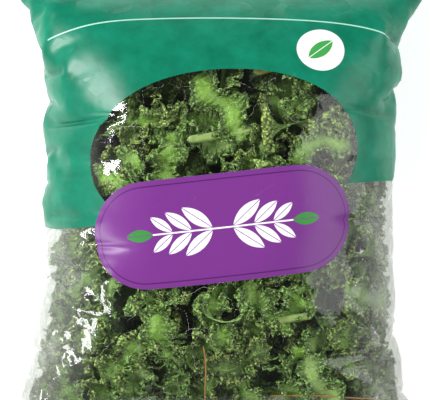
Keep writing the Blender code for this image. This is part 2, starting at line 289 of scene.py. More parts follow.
def relax(tube, steps, pressure, bending):
    """Steps of a stiff film: gas pressure along the normals, then pairs of neighbours pulled to their
    distance in the flat film, then the seals, the fill and the table."""
    rows, columns = tube.shape[:2]
    half = columns // 2
    rest = np.array((POUCH_LENGTH / (rows - 1), 2 * FLAT_WIDTH / columns))
    number = np.arange(columns)
    flat_x = np.minimum(number, columns - number) * rest[1] - FLAT_WIDTH / 2
    lean = {0: LEAN, -1: 0.0}
    is_front = (number > 0) & (number < half)
    is_back = number > half
    seal_y = BAG_LENGTH / 2 - SEAL_DEPTH
    last = tube.copy()
    for _ in range(steps):
        normal = np.cross(np.roll(tube, -1, 1) - np.roll(tube, 1, 1), np.gradient(tube, axis=0))
        normal /= np.linalg.norm(normal, axis=-1, keepdims=True) + 1e-12
        moved = tube + GLIDE * (tube - last) + normal * pressure
        moved[..., 2] -= WEIGHT * pressure
        last, tube = tube, moved
        for _ in range(PULLS):
            for s in (0, 1):
                low, high = slice(s, rows - 1, 2), slice(s + 1, rows, 2)
                tube[low], tube[high] = hold(tube[low], tube[high], rest[0], STRETCH, SQUEEZE)
            for s in (0, 1):
                turned = np.roll(tube, -s, 1)
                turned[:, ::2], turned[:, 1::2] = hold(
                    turned[:, ::2], turned[:, 1::2], rest[1], STRETCH, SQUEEZE
                )
                tube = np.roll(turned, s, 1)
            for way in (1, -1):
                for s in (0, 1):
                    low, high = slice(s, rows - 1, 2), slice(s + 1, rows, 2)
                    far = np.roll(tube[high], -way, 1)
                    tube[low], far = hold(tube[low], far, np.hypot(*rest), *SHEAR)
                    tube[high] = np.roll(far, way, 1)
            tube[1:-1] += bending / 2 * ((tube[2:] + tube[:-2]) / 2 - tube[1:-1])
            tube += bending / 2 * ((np.roll(tube, 1, 1) + np.roll(tube, -1, 1)) / 2 - tube)
            # The ends lie flat in their seals
            for row, side in ((0, -1), (-1, 1)):
                tube[row, :, 0] = flat_x - lean[row]
                reach = np.clip(side * tube[row, :, 1].mean(), seal_y - PLAY, seal_y)
                tube[row, :, 1] = side * reach
                tube[row, :, 2] = np.clip(tube[row, :, 2].mean(), *SEAL_HEIGHTS)
            # The fill props up the front and presses down the back, and the table holds it all
            x, y, z = tube[..., 0], tube[..., 1], tube[..., 2]
            front, back, filled = fill_surface(x, y)
            z = np.where(filled & is_front, np.maximum(z, front), z)
            z = np.where(filled & is_back, np.minimum(z, np.maximum(back, BACK_LOWEST)), z)
            over_fin = np.clip(1.6 - np.abs(x - FIN_WIDTH / 2) / (FIN_WIDTH / 2), 0, 1)
            tube[..., 2] = np.clip(z, FLOOR_GAP + FIN_ROOM * over_fin, BAG_HEIGHT + OVER_TOP)
            left, right = side_limits(y)
            tube[..., 0] = np.clip(x, left - PLAY, right + PLAY)
            tube[:, 0, 0] = np.minimum(tube[:, 0, 0], left[:, 0] + PLAY)
            tube[:, half, 0] = np.maximum(tube[:, half, 0], right[:, half] - PLAY)
    return tube


def finer(tube):
    """Twice the columns and twice the rows less one, with the new points half way."""
    rows, columns = tube.shape[:2]
    wide = np.empty((rows, 2 * columns, 3))
    wide[:, ::2] = tube
    wide[:, 1::2] = (tube + np.roll(tube, -1, 1)) / 2
    both = np.empty((2 * rows - 1, 2 * columns, 3))
    both[::2] = wide
    both[1::2] = (wide[1:] + wide[:-1]) / 2
    return both


def relaxed_pouch():
    """The tube of film between the end seals, rows by columns by 3."""
    draw = np.random.default_rng(1)
    tube = pouch_start(*START_GRID)
    for level, (steps, pressure, bending) in enumerate(LEVELS):
        if level:
            tube = finer(tube)
        if level == 2 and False:
            return tube
        tube += draw.normal(0, JITTER / 3**level, tube.shape)
        tube = relax(tube, steps, pressure, bending)
    return tube


BAND_ROWS = 22
BAND_HALF = 0.00008  # from the middle of the two welded layers to each
RIDGES = 7  # crimp lines across each end seal
RIDGE_HEIGHT = 0.00022
BAND_WAVE = 0.0012  # how far the seals' free edges wave


def film_tube():
    """The whole film: the relaxed pouch with a crimped band at each end, and the flat place of each
    row. In the bands the front and the back lie on each other."""
    pouch = relaxed_pouch()
    rows, columns = pouch.shape[:2]
    half = columns // 2
    is_front = (np.arange(columns) > 0) & (np.arange(columns) < half)
    is_back = np.arange(columns) > half
    apart = BAND_HALF * (is_front * 1.0 - is_back)
    share = np.arange(1, BAND_ROWS + 1) / BAND_ROWS
    ridge = RIDGE_HEIGHT * np.sin(share * 2 * math.pi * RIDGES) * np.sin(share * math.pi) ** 0.3
    bands = []
    for row, side in ((0, -1), (-1, 1)):
        band = np.repeat(pouch[row][None], BAND_ROWS, 0)
        band[..., 1] += side * (share * SEAL_DEPTH)[:, None]
        wave = BAND_WAVE * np.sin(band[..., 0] * 38 + 2 * side) * share[:, None] ** 2
        band[..., 2] += ridge[:, None] + apart + wave
        bands.append(band)
    pouch[0, :, 2] += apart
    pouch[-1, :, 2] += apart
    flat = np.linspace(-0.5, 0.5, rows) * POUCH_LENGTH
    ends = POUCH_LENGTH / 2 + share * SEAL_DEPTH
    tube = np.concatenate([bands[0][::-1], pouch, bands[1]])
    return tube, np.concatenate([-ends[::-1], flat, ends])


def tube_quads(rows, columns):
    """Quads of a closed tube that face out, and those that shut each end flat."""
    index = np.arange(rows * columns).reshape(rows, columns)
    right = np.roll(index, -1, 1)
    wall = np.stack([index[:-1], right[:-1], right[1:], index[1:]], -1)
    half = columns // 2
    number = np.arange(half)
    back = (columns - number) % columns
    start = np.stack([index[0, number], index[0, back], index[0, back - 1], index[0, number + 1]], -1)
    end = np.stack([index[-1, number], index[-1, number + 1], index[-1, back - 1], index[-1, back]], -1)
    keep = slice(1, half - 1)  # at the folds these quads would be triangles
    return wall, start, end, keep


def round_vent(tube, centre):
    """Moves the twelve points round a block of three by three quads onto the vent's circle, and
    returns which quads and points go."""
    rows, columns = tube.shape[:2]
    back = np.arange(columns // 2 + 4, columns - 4)
    away = np.hypot(tube[:, back, 0] - centre[0], tube[:, back, 1] - centre[1])
    row, column = np.unravel_index(away.argmin(), away.shape)
    column = back[column]
    block = [(row + j, column + i) for j in range(-1, 3) for i in range(-1, 3)]
    rim = [p for p in block if p[0] in (row - 1, row + 2) or p[1] in (column - 1, column + 2)]
    middle = np.mean([tube[p] for p in block], axis=0)
    for p in rim:
        out = tube[p][:2] - middle[:2]
        tube[p][:2] = middle[:2] + out / np.linalg.norm(out) * VENT_SIZE / 2
    gone = [(row + j, column + i) for j in range(-1, 2) for i in range(-1, 2)]
    inner = [p for p in block if p not in rim]
    return gone, inner


LOOSE_SIDES = (0.66, 0.30)  # share of the width where the film comes loose, and over how much
LOOSE_ENDS = (0.108, 0.020)  # the same along the bag, in metres


def build_film(finish):
    """The pouch as one closed tube, with its two round vents in the back."""
    tube, flat = film_tube()
    rows, columns = tube.shape[:2]
    wall, start, end, keep = tube_quads(rows, columns)
    kept = np.ones(wall.shape[:2], bool)
    unused = np.zeros((rows, columns), bool)
    for side in (-1, 1):
        gone, inner = round_vent(tube, (side * VENT_X, VENT_Y))
        for place in gone:
            kept[place] = False
        for place in inner:
            unused[place] = True
    # U runs once round the tube, with its seam in the middle of the back, and V along the flat film
    turn = (np.arange(columns + 1) + columns / 4) / columns
    seam = int(columns * 3 / 4)
    turn = np.where(np.arange(columns + 1) >= seam, turn - 1, turn)
    left = turn[:-1]
    right = left + 1 / columns
    u = np.broadcast_to(np.stack([left, right, right, left], -1), (rows - 1, columns, 4))
    v = 0.5 + flat / PRINT_LENGTH
    v = np.stack([v[:-1], v[:-1], v[1:], v[1:]], -1)[:, None].repeat(columns, 1)
    uv = np.stack([u, v], -1)[kept]
    quads = wall[kept]
    caps = np.concatenate([start[keep], end[keep]])
    cap_uv = np.zeros((len(caps), 4, 2)) + (0.5, 0.01)
    quads = np.concatenate([quads, caps])
    uv = np.concatenate([uv, cap_uv])
    renumber = np.cumsum(~unused.ravel()) - 1
    points = tube.reshape(-1, 3)[~unused.ravel()]
    aside = (np.abs(x_to_across(tube[..., 0], tube[..., 1])) - LOOSE_SIDES[0]) / LOOSE_SIDES[1]
    beyond = np.maximum(aside, (np.abs(tube[..., 1]) - LOOSE_ENDS[0]) / LOOSE_ENDS[1])
    air = np.clip(beyond, 0, 1).ravel()[~unused.ravel()]
    piece = quad_piece("film_pouch", points, renumber[quads], finish, uv, {"air": air})
    return piece, tube, flat


FIN_COLUMNS = 25
FIN_RIDGE = 0.0024  # from one ridge of the fin to the next
FIN_RIDGE_HEIGHT = 0.00008
FIN_DROP = 0.00042  # from the back down to the fin
FIN_LOWEST = 0.0003
FIN_HALF = (0, 0, 0.0001)  # half its thickness


def build_fin(tube, flat, finish):
    """The back seal, a strip of film folded flat against the back from end to end. Along each row it
    hangs a little under the back's height there, with fine ridges along its length."""
    tube, flat = tube[::2], flat[::2]
    half = tube.shape[1] // 2
    back = np.concatenate([tube[:, half:], tube[:, :1]], 1)[:, ::-1]
    back[..., 0] = np.maximum.accumulate(back[..., 0], axis=1)
    x = np.linspace(0.0, FIN_WIDTH, FIN_COLUMNS)
    y, z = ([np.interp(x, row[:, 0], row[:, k]) for row in back] for k in (1, 2))
    z = np.maximum(np.stack(z) - FIN_DROP, FIN_LOWEST)
    z = z + FIN_RIDGE_HEIGHT * np.sin(2 * math.pi * x / FIN_RIDGE)
    grid = np.stack([x + 0 * z, np.stack(y), z], -1)
    points = np.concatenate([grid + FIN_HALF, grid - FIN_HALF]).reshape(-1, 3)
    quads = facing_out(points, sheet_quads(*grid.shape[:2]))
    u = 1 - x / (2 * FLAT_WIDTH) + 0 * z
    v = 0.5 + flat[:, None] / PRINT_LENGTH + 0 * z
    uv = np.tile(np.stack([u, v], -1).reshape(-1, 2), (2, 1))
    return quad_piece("film_fin", points, quads, finish, uv[quads.ravel()])


# Kale

TOP_GRID = (140, 17)  # points along and across a leaf under the front
LOW_GRID = (80, 11)  # and a leaf beneath it
BLADE = 0.00030  # blade thickness
RIB = 0.0011  # how much thicker the midrib is
LEAF_INSET = 0.0020  # from the film to a cell's top and bottom
SOFTNESS = 0.0012  # of the film's hold on a curl
CURLS = (  # length and size of each set of curls, and how far out from the rib it starts
    (0.0150, 0.0036, 0.15),
    (0.0066, 0.0024, 0.25),
    (0.0029, 0.0011, 0.40),
)


def cells():
    """The fill's cells, drawn as the frame draws them: rows with cuts that move a little from row to
    row, and two layers where the bag is thick."""
    draw = np.random.default_rng(SEED)
    row_cuts = np.linspace(FILL_LOW, FILL_HIGH, KALE_ROWS + 1)
    made = []
    for row in range(KALE_ROWS):
        cuts = np.linspace(-FILL_SIDE, FILL_SIDE, KALE_COLUMNS + 1)
        cuts[1:-1] += draw.uniform(-0.06, 0.06, KALE_COLUMNS - 1)
        for column in range(KALE_COLUMNS):
            centre = (cuts[column] + cuts[column + 1]) / 2
            middle = (row_cuts[row] + row_cuts[row + 1]) / 2
            front, back = heights(np.array(centre), np.array(middle), FILL_INSET)
            split = draw.uniform(-0.15, 0.15)
            levels = (-1.0, split, 1.0) if front - back > TWO_LAYERS_OVER else (-1.0, 1.0)
            for layer in range(len(levels) - 1):
                low = (cuts[column], row_cuts[row], levels[layer])
                high = (cuts[column + 1], row_cuts[row + 1], levels[layer + 1])
                made.append((row, column, layer == len(levels) - 2, low, high))
    return made


ROOM_STEP = 0.0015  # grid on which the room inside the film is kept
ROOM_CORNER = (-0.141, -0.153)
ROOM_CELLS = (188, 204)
LAST_CELL = 1.01  # a place less than this from the grid's end counts as just inside


def film_room(tube):
    """The room inside the film: height of its front and of its back over a grid of the table, and its
    two sides for each row. Points spread over every quad give the heights, and a mean of three by
    three cells smooths them."""
    half = tube.shape[1] // 2
    across = ROOM_CORNER[0] + ROOM_STEP * (np.arange(ROOM_CELLS[0]) + 0.5)
    along = ROOM_CORNER[1] + ROOM_STEP * (np.arange(ROOM_CELLS[1]) + 0.5)
    x, y = np.meshgrid(across, along)
    sheets = (tube[:, : half + 1], np.concatenate([tube[:, half:], tube[:, :1]], 1))
    room = []
    for sheet, empty, merge, formula in zip(
        sheets, (9.0, -9.0), (np.minimum, np.maximum), heights(x_to_across(x, y), y)
    ):
        grid = np.full(x.shape, empty)
        for s in np.linspace(0, 1, 4):
            for t in np.linspace(0, 1, 4):
                low = sheet[:-1, :-1] * (1 - t) + sheet[:-1, 1:] * t
                high = sheet[1:, :-1] * (1 - t) + sheet[1:, 1:] * t
                spot = low * (1 - s) + high * s
                row = ((spot[..., 1] - ROOM_CORNER[1]) / ROOM_STEP).astype(int)
                column = ((spot[..., 0] - ROOM_CORNER[0]) / ROOM_STEP).astype(int)
                merge.at(grid, (row, column), spot[..., 2])
        # Where no point of the film falls, the bag's formula stands in
        grid = np.where(grid == empty, formula, grid)
        for axis in (0, 1):
            grid = (np.roll(grid, 1, axis) + grid + np.roll(grid, -1, axis)) / 3
        room.append(grid)
    sides = (tube[..., 1].mean(1), tube[..., 0].min(1), tube[..., 0].max(1))
    return (*room, *sides)


def room_at(x, y, room):
    """Height of the film's front and back at places on the table, linear between the grid's cells."""
    column = np.clip((x - ROOM_CORNER[0]) / ROOM_STEP - 0.5, 0, ROOM_CELLS[0] - LAST_CELL)
    row = np.clip((y - ROOM_CORNER[1]) / ROOM_STEP - 0.5, 0, ROOM_CELLS[1] - LAST_CELL)
    i, j = column.astype(int), row.astype(int)
    s, t = column - i, row - j
    return [
        (grid[j, i] * (1 - s) + grid[j, i + 1] * s) * (1 - t)
        + (grid[j + 1, i] * (1 - s) + grid[j + 1, i + 1] * s) * t
        for grid in room[:2]
    ]


def into_cell(local, low, high, room):
    """Carries points of a cube of -1 to 1 into a cell of the fill, which reaches from the film's back
    to its front."""
    share = (local + 1) / 2
    across, y, level = (low[k] + (high[k] - low[k]) * share[..., k] for k in range(3))
    x = across_to_x(across, y)
    front, back = room_at(x, y, room)
    middle, half = (front + back) / 2, np.maximum((front - back) / 2 - LEAF_INSET, 0.001)
    return np.stack([x, y, middle + half * level], -1)


CRINKLE = 0.00032  # of the margins, from point to point
WANDER = (0.9, 3.7)  # how far the curls' spacing wanders, in radians, and over how many curls
SWELL = (0.35, 5.3)  # how much their size swells, and over how many curls
CURL_LEAN = 1.3  # how far a curl lags at the margin, in radians
CURL_LOOP = 0.6  # its sideways swing, as a share of its height


def leaf_in_cube(draw, steps, columns):
    """Middle surface of a chopped leaf in a cube of -1 to 1, as the frame has it: a midrib with a
    waved blade each side.

    A point swings round the midrib by an angle that waves along it and grows towards the margin, and
    the margin reaches out to the cube's sides, closer on the side that the midrib bows to.
    """
    along = np.linspace(-CELL_FILL, CELL_FILL, steps)[:, None]
    offset = np.linspace(-1, 1, columns)[None, :]
    reach = np.abs(offset)
    swing = np.zeros((steps, columns))
    for side in (-1, 1):
        for degrees, waves in WAVES:
            size = math.radians(degrees) * draw.uniform(0.85, 1.1)
            turn = math.pi * waves * draw.uniform(0.85, 1.15)
            phase = draw.uniform(0, 2 * math.pi)
            swing += np.where(offset * side > 0, size * np.sin(turn * along + phase), 0)
    twist = draw.uniform(-0.5, 0.5) * along
    bow = draw.uniform(-0.2, 0.2, 2) * np.cos(math.pi / 2 * along)
    angle = np.where(offset < 0, math.pi, 0) + twist + swing * reach**1.3
    out, up = np.cos(angle), np.sin(angle)
    room_out = 1 - bow[..., :1] * np.sign(out)
    room_up = 1 - bow[..., 1:] * np.sign(up)
    margin = ((np.abs(out) / room_out) ** 4 + (np.abs(up) / room_up) ** 4) ** -0.25
    radius = CELL_FILL * reach * margin
    local = np.stack([along + 0 * angle, bow[..., :1] + radius * out, bow[..., 1:] + radius * up], -1)
    local = np.roll(local, draw.integers(0, 3), axis=-1)
    return local * draw.choice((-1.0, 1.0), 3)


def curled(grid, curls, draw):
    """A sheet with curls growing towards both margins, each set riding on the surface of the last.

    A point moves along the sheet's normal by the sine of its way along the margin, and along the
    margin by the sine of twice that, so the curls lean over like loops.
    """
    offset = np.linspace(-1, 1, grid.shape[1])
    for wave, size, start in curls:
        normal = grid_normals(grid)
        way = np.gradient(grid, axis=0)
        way /= np.linalg.norm(way, axis=-1, keepdims=True) + 1e-12
        moved = grid.copy()
        for side in (-1, 1):
            mine = offset * side > 0
            near = np.abs(offset * side - 0.8).argmin()
            steps = np.linalg.norm(np.diff(grid[:, near], axis=0), axis=-1)
            arc = np.concatenate([[0], np.cumsum(steps)])
            first, wander, swell = draw.uniform(0, 2 * math.pi, 3)
            phase = 2 * math.pi * arc / wave + first
            phase = phase + WANDER[0] * np.sin(phase / WANDER[1] + wander)
            lean = phase[:, None] + CURL_LEAN * np.abs(offset[mine])
            grown = np.clip((np.abs(offset[mine]) - start) / (1 - start), 0, 1) ** 1.1
            swollen = 0.8 + SWELL[0] * np.sin(phase / SWELL[1] + swell)
            reach = size * grown * swollen[:, None]
            moved[:, mine] += normal[:, mine] * (reach * np.sin(lean))[..., None]
            moved[:, mine] += way[:, mine] * (CURL_LOOP * reach * np.sin(2 * lean))[..., None]
        grid = moved
    crinkle = draw.normal(0, 1, grid.shape) * np.clip(np.abs(offset) * 2 - 0.7, 0, 1)[:, None]
    return grid + CRINKLE * crinkle


def grid_normals(grid):
    """Unit normals of a grid of points, from the differences along its rows and columns."""
    normal = np.cross(np.gradient(grid, axis=1), np.gradient(grid, axis=0))
    return normal / (np.linalg.norm(normal, axis=-1, keepdims=True) + 1e-12)


def sheet_quads(rows, columns):
    """Quads of both faces of a closed sheet and of its rim."""
    upper, lower = np.arange(2 * rows * columns).reshape(2, rows, columns)
    top = np.stack([upper[:-1, :-1], upper[:-1, 1:], upper[1:, 1:], upper[1:, :-1]], -1)
    under = np.stack([lower[:-1, :-1], lower[1:, :-1], lower[1:, 1:], lower[:-1, 1:]], -1)
    around = [upper[:, 0], upper[-1, 1:], upper[-2::-1, -1], upper[0, -2:0:-1]]
    rim = np.concatenate(around)
    below = rim + rows * columns
    edge = np.stack([rim, np.roll(rim, -1), np.roll(below, -1), below], -1)
    return np.concatenate([top.reshape(-1, 4), under.reshape(-1, 4), edge])


def facing_out(points, quads):
    """The quads of a closed piece, turned round if they face in: if the volume that they enclose,
    summed over their triangles from the piece's middle, is negative."""
    a, b, c, d = (points[quads[:, k]] - points.mean(0) for k in range(4))
    volume = np.einsum("ij,ij->", a, np.cross(b, c)) + np.einsum("ij,ij->", a, np.cross(c, d))
    return quads if volume >= 0 else quads[:, ::-1]


def blade_piece(name, grid, finish, tone):
    """A leaf piece from its middle surface: both faces moved out along the normals, thicker at the
    rib."""
    rows, columns = grid.shape[:2]
    reach = np.abs(np.linspace(-1, 1, columns))[None, :] + np.zeros((rows, 1))
    half = (BLADE + RIB * (1 - reach) ** 6) / 2
    move = grid_normals(grid) * half[..., None]
    points = np.concatenate([(grid + move).reshape(-1, 3), (grid - move).reshape(-1, 3)])
    quads = facing_out(points, sheet_quads(rows, columns))
    along = np.linspace(0, 1, rows)[:, None] + np.zeros((1, columns))
    across = np.linspace(0, 1, columns)[None, :] + np.zeros((rows, 1))
    place = np.tile(np.stack([along, across], -1).reshape(-1, 2), (2, 1))
    values = {"reach": np.tile(reach.ravel(), 2), "tone": np.full(len(points), tone)}
    return quad_piece(name, points, quads, finish, place[quads.ravel()], values)


def eased(value, low, high, softness):
    """A value kept between two limits: well inside it stays, and near a limit it levels off, by the
    logarithm of a sum of exponentials."""
    value = high - softness * np.logaddexp(0, (high - value) / softness)
    return low + softness * np.logaddexp(0, (value - low) / softness)


SIDE_GAP = 0.003  # from the kale to the film's sides
FILM_GAP = 0.0006  # and to its front and back


def press(points, room):
    """Points kept inside the film: x between its sides, and z eased under its front and over its back
    by a soft limit, so that curls flatten a little where they touch."""
    at, left, right = room[2:]
    low = np.interp(points[..., 1], at, left) + SIDE_GAP
    high = np.interp(points[..., 1], at, right) - SIDE_GAP
    points[..., 0] = np.clip(points[..., 0], low, high)
    front, back = room_at(points[..., 0], points[..., 1], room)
    top, floor = front - FILM_GAP, back + FILM_GAP
    z = np.clip(eased(points[..., 2], floor, top, SOFTNESS), floor, np.maximum(top, floor))
    points[..., 2] = np.where(top > floor, z, (front + back) / 2)
    return points


CAP = (0.0, 0.55, 0.9)  # a rod's radius at its last rings, as a share of the whole
GROOVE = (0.22, 0.5)  # depth of its groove, as a share of the radius, and half width in radians
FLUTES = (0.04, 5)  # depth and number of the ridges round it


def rod(line, radius, sides):
    """Rings round a line, square to its way, thinner towards the end, with a shallow groove on top;
    both ends close in steps."""
    way = np.gradient(line, axis=0)
    way /= np.linalg.norm(way, axis=1, keepdims=True)
    side = np.cross(way, (0, 0, 1))
    side /= np.linalg.norm(side, axis=1, keepdims=True)
    up = np.cross(side, way)
    turn = np.arange(sides) * 2 * math.pi / sides
    groove = 1 - GROOVE[0] * np.exp(-(((turn - math.pi / 2) / GROOVE[1]) ** 2))
    groove = groove + FLUTES[0] * np.cos(FLUTES[1] * turn)
    cap = np.array([*CAP, *([1.0] * (len(line) - 2 * len(CAP))), *CAP[::-1]])
    radius = radius * np.linspace(1.0, 0.8, len(line)) * cap
    ring = np.cos(turn)[None, :, None] * side[:, None] + np.sin(turn)[None, :, None] * up[:, None]
    return line[:, None] + (radius[:, None] * groove)[..., None] * ring


def rod_piece(name, points, finish, brown):
    """A closed rod from its rings."""
    index = np.arange(points.shape[0] * points.shape[1]).reshape(points.shape[:2])
    right = np.roll(index, -1, 1)
    quads = np.stack([index[:-1], index[1:], right[1:], right[:-1]], -1).reshape(-1, 4)
    flat = points.reshape(-1, 3)
    values = {"brown": np.full(len(flat), brown)}
    return quad_piece(name, flat, facing_out(flat, quads), finish, None, values)


def build_stem(name, draw, low, high, finish, room):
    """A cut stem: a tapering rod along a line in its cell."""
    ends = draw.uniform(-0.5, 0.5, 2)
    share = np.linspace(-1, 1, 41)
    local = np.stack([share * 0.85, ends[0] + (ends[1] - ends[0]) * (share + 1) / 2, 0 * share], -1)
    line = into_cell(local, low, high, room)
    return rod_piece(name, press(rod(line, STEM_RADIUS, 20), room), finish, 0.0)


def build_straw(name, start, end, finish, room):
    """A thin split stem just under the film, along a line that bows a little to one side."""
    share = np.linspace(0, 1, 36)
    x, y = (a + (b - a) * share for a, b in zip(start, end))
    bow = STRAW_BOW * np.sin(math.pi * share * 1.6)
    x, y = x + bow * np.sign(start[1] - end[1]), y + bow
    front, _ = room_at(x, y, room)
    line = np.stack([x, y, front - STRAW_DEPTH], -1)
    return rod_piece(name, press(rod(line, STRAW_RADIUS, 10), room), finish, STRAW_BROWN)


# Loose pieces of leaf. Each kind is spread over a place on the table, given by half its width, and
# by its start and length along the bag. SIZES are the least and most length and width of a piece.
SCRAPS = 54
SCRAP_SPREAD = (0.088, -0.114, 0.185)
SCRAP_SIZES = ((0.030, 0.010), (0.052, 0.015))
SCRAP_GRID = (150, 11)
SCRAP_CURLS = ((0.0105, 0.0040, 0.05), (0.0050, 0.0025, 0.15), (0.0025, 0.0012, 0.30))
UNDER_LEAVES = 30  # broad ones, by turns in the middle of the fill and on the back
UNDER_SPREAD = (0.072, -0.108, 0.205)
UNDER_SIZES = ((0.055, 0.024), (0.075, 0.032))
UNDER_LIFT = 0.006  # how far those on the back lie above it
UNDER_GRID = (50, 9)
SIDE_SCRAPS = 34  # small ones in the thin room along the bag's sides
SIDE_SPREAD = (-0.116, 0.185)
SIDE_SIZES = ((0.022, 0.006), (0.038, 0.010))
SIDE_INSET = (0.010, 0.019)  # between which distances from the side they lie
SIDE_GRID = (80, 9)
LOBE_PITCH = (0.013, 0.024)  # of the lobes along a blade's margin
LOBE_DEPTH = 0.26  # their share of the blade's width
RIB_SWAY = (0.003, 0.040)  # size and pitch of the rib's sway
RIB_WAVE = (0.002, 0.021)  # and of its waves up and down
FILL_PLAY = 0.004  # how far a scrap may reach past the fill's ends
SCRAP_SIDES = (0.006, 0.003)  # how far it stays from the sides, and how softly it is held there
# Thin browned stems just under the film: start and end on the table
STRAWS = (
    ((-0.0105, -0.078), (-0.0085, -0.113)),
    ((0.028, -0.1090), (0.096, -0.1105)),
    ((0.104, -0.0990), (0.110, -0.1130)),
)
STRAW_RADIUS = 0.0005
STRAW_DEPTH = 0.0022  # from the film's front down to it
STRAW_BOW = 0.0008
STRAW_BROWN = 0.8  # 0 is green and 1 is brown


def scrap(draw, grid_size, x, y, depth, length, width, tilt, room):
    """Middle surface of a loose scrap of leaf that lies under the film: its rib wanders in a sine
    round a straight line, and its two blades rise from the rib like a V, each by its own tilt and
    with a width that swells and shrinks as a sine, as chopping leaves it."""
    steps, columns = grid_size
    heading, bend, side_phase = draw.uniform(0, 2 * math.pi, 3)
    s = np.linspace(-0.5, 0.5, steps)[:, None] * length
    t = np.linspace(-1, 1, columns)[None, :]
    half = (t > 0) * 1
    lobe, pitch = draw.uniform(0, 2 * math.pi, 2)[half], draw.uniform(*LOBE_PITCH, 2)[half]
    fade = np.sqrt(np.clip(1 - (2 * s / length) ** 8, 0.03, 1))
    fade = fade * (1 - LOBE_DEPTH + LOBE_DEPTH * np.sin(2 * math.pi * s / pitch + lobe))
    sway = RIB_SWAY[0] * np.sin(2 * math.pi * s / RIB_SWAY[1] + bend)
    side = sway + t * width * fade * np.cos(tilt[half])
    px = x + s * math.cos(heading) - side * math.sin(heading)
    py = y + s * math.sin(heading) + side * math.cos(heading)
    py = np.clip(py, FILL_LOW - FILL_PLAY, FILL_HIGH + FILL_PLAY)
    left, right = side_limits(py)
    px = eased(px, left + SCRAP_SIDES[0], right - SCRAP_SIDES[0], SCRAP_SIDES[1])
    front, _ = room_at(px, py, room)
    rise = np.abs(t) * width * fade * np.sin(tilt[half])
    wave = RIB_WAVE[0] * np.sin(s * 2 * math.pi / RIB_WAVE[1] + side_phase)
    return np.stack([px, py, front - depth + rise + wave], -1)


GOLDEN = 0.618034


def spread(number, half_width, start, length, share):
    """A place on the table: across by steps of the golden ratio, and along by a share of a length."""
    return half_width * (2 * ((number * GOLDEN) % 1) - 1), start + length * share


def loose_piece(name, grid, curls, finish, draw, room):
    """A loose piece of leaf from its middle surface, curled and pressed into the film."""
    grid = press(curled(grid, curls, draw), room)
    keep_piece(blade_piece(name, grid, finish, draw.uniform()), "kale_leaf")


def build_kale(leaf_finish, stem_finish, room):
    """Every leaf piece and stem of the frame, made finer, and the scraps between them."""
    leaves, stems = 0, 0
    for row, column, on_top, low, high in cells():
        # The frame's own seed and order of draws, so that each leaf is its solid's leaf
        draw = np.random.default_rng((SEED, row, column, int(on_top)))
        fine = np.random.default_rng((SEED, row, column, int(on_top), 7))
        if on_top and (row, column) in STEM_CELLS:
            level = low[2] + (high[2] - low[2]) * STEM_LAYER
            stems += 1
            name = f"stem_{stems:02d}"
            piece = build_stem(name, draw, (low[0], low[1], level), high, stem_finish, room)
            keep_piece(piece, "kale_stem", f"kale_stem_{stems:02d}")
            high = (high[0], high[1], level)
        leaves += 1
        local = leaf_in_cube(draw, *(TOP_GRID if on_top else LOW_GRID))
        grid = press(curled(into_cell(local, low, high, room), CURLS, fine), room)
        piece = blade_piece(f"leaf_{leaves:02d}", grid, leaf_finish, fine.uniform())
        keep_piece(piece, "kale_leaf", f"kale_leaf_{leaves:02d}")
    draw = np.random.default_rng(77)
    # Every sixth scrap is pressed flat against the film
    for number in range(SCRAPS):
        x, y = spread(number, *SCRAP_SPREAD, ((number + 0.5) / SCRAPS) ** 1.15)
        length, width = draw.uniform(*SCRAP_SIZES)
        pressed = number % 6 == 3
        tilt = draw.uniform(0.0, 0.12, 2) if pressed else draw.uniform(0.15, 0.95, 2)
        depth = width * math.sin(tilt.max()) + draw.uniform(0.001, 0.006)
        x = x + draw.normal(0, 0.003)
        grid = scrap(draw, SCRAP_GRID, x, y, depth, length, width, tilt, room)
        curls = SCRAP_CURLS[1:] if pressed else SCRAP_CURLS
        loose_piece(f"scrap_{number + 1:02d}", grid, curls, leaf_finish, draw, room)
    for number in range(UNDER_LEAVES):
        x, y = spread(number, *UNDER_SPREAD, (number + 0.5) / UNDER_LEAVES)
        depth = 0.6 * (heights(x_to_across(np.array(x), y), y)[0] - SIDE_RISE) + 0.006
        if number % 2:
            front, back = room_at(np.array(x), np.array(y), room)
            depth = front - back - UNDER_LIFT
        size = (depth, *draw.uniform(*UNDER_SIZES))
        grid = scrap(draw, UNDER_GRID, x, y, *size, draw.uniform(-0.2, 0.2, 2), room)
        loose_piece(f"under_{number + 1:02d}", grid, CURLS[:1], leaf_finish, draw, room)
    draw = np.random.default_rng(78)
    for number in range(SIDE_SCRAPS):
        side = (-1, 1)[number % 2]
        y = np.array(SIDE_SPREAD[0] + SIDE_SPREAD[1] * (number + 0.5) / SIDE_SCRAPS)
        edge = side_limits(y)[(side > 0) * 1]
        x = edge - side * draw.uniform(*SIDE_INSET)
        front, back = room_at(x, y, room)
        length, width = draw.uniform(*SIDE_SIZES)
        tilt = draw.uniform(0.1, 0.6, 2)
        depth = 0.35 * (front - back) + 0.5 * width * math.sin(tilt.max())
        grid = scrap(draw, SIDE_GRID, x, y, depth, length, width, tilt, room)
        loose_piece(f"side_{number + 1:02d}", grid, SCRAP_CURLS, leaf_finish, draw, room)
    for number, (start, end) in enumerate(STRAWS):
        piece = build_straw(f"straw_{number + 1:02d}", start, end, stem_finish, room)
        keep_piece(piece, "kale_stem")


def keep_piece(piece, slot, *nodes):
    """The piece rides on the bag and stands for these nodes. The slot is not used."""
    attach(piece, "root")
    if nodes:
        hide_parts(*nodes)


# Finishes


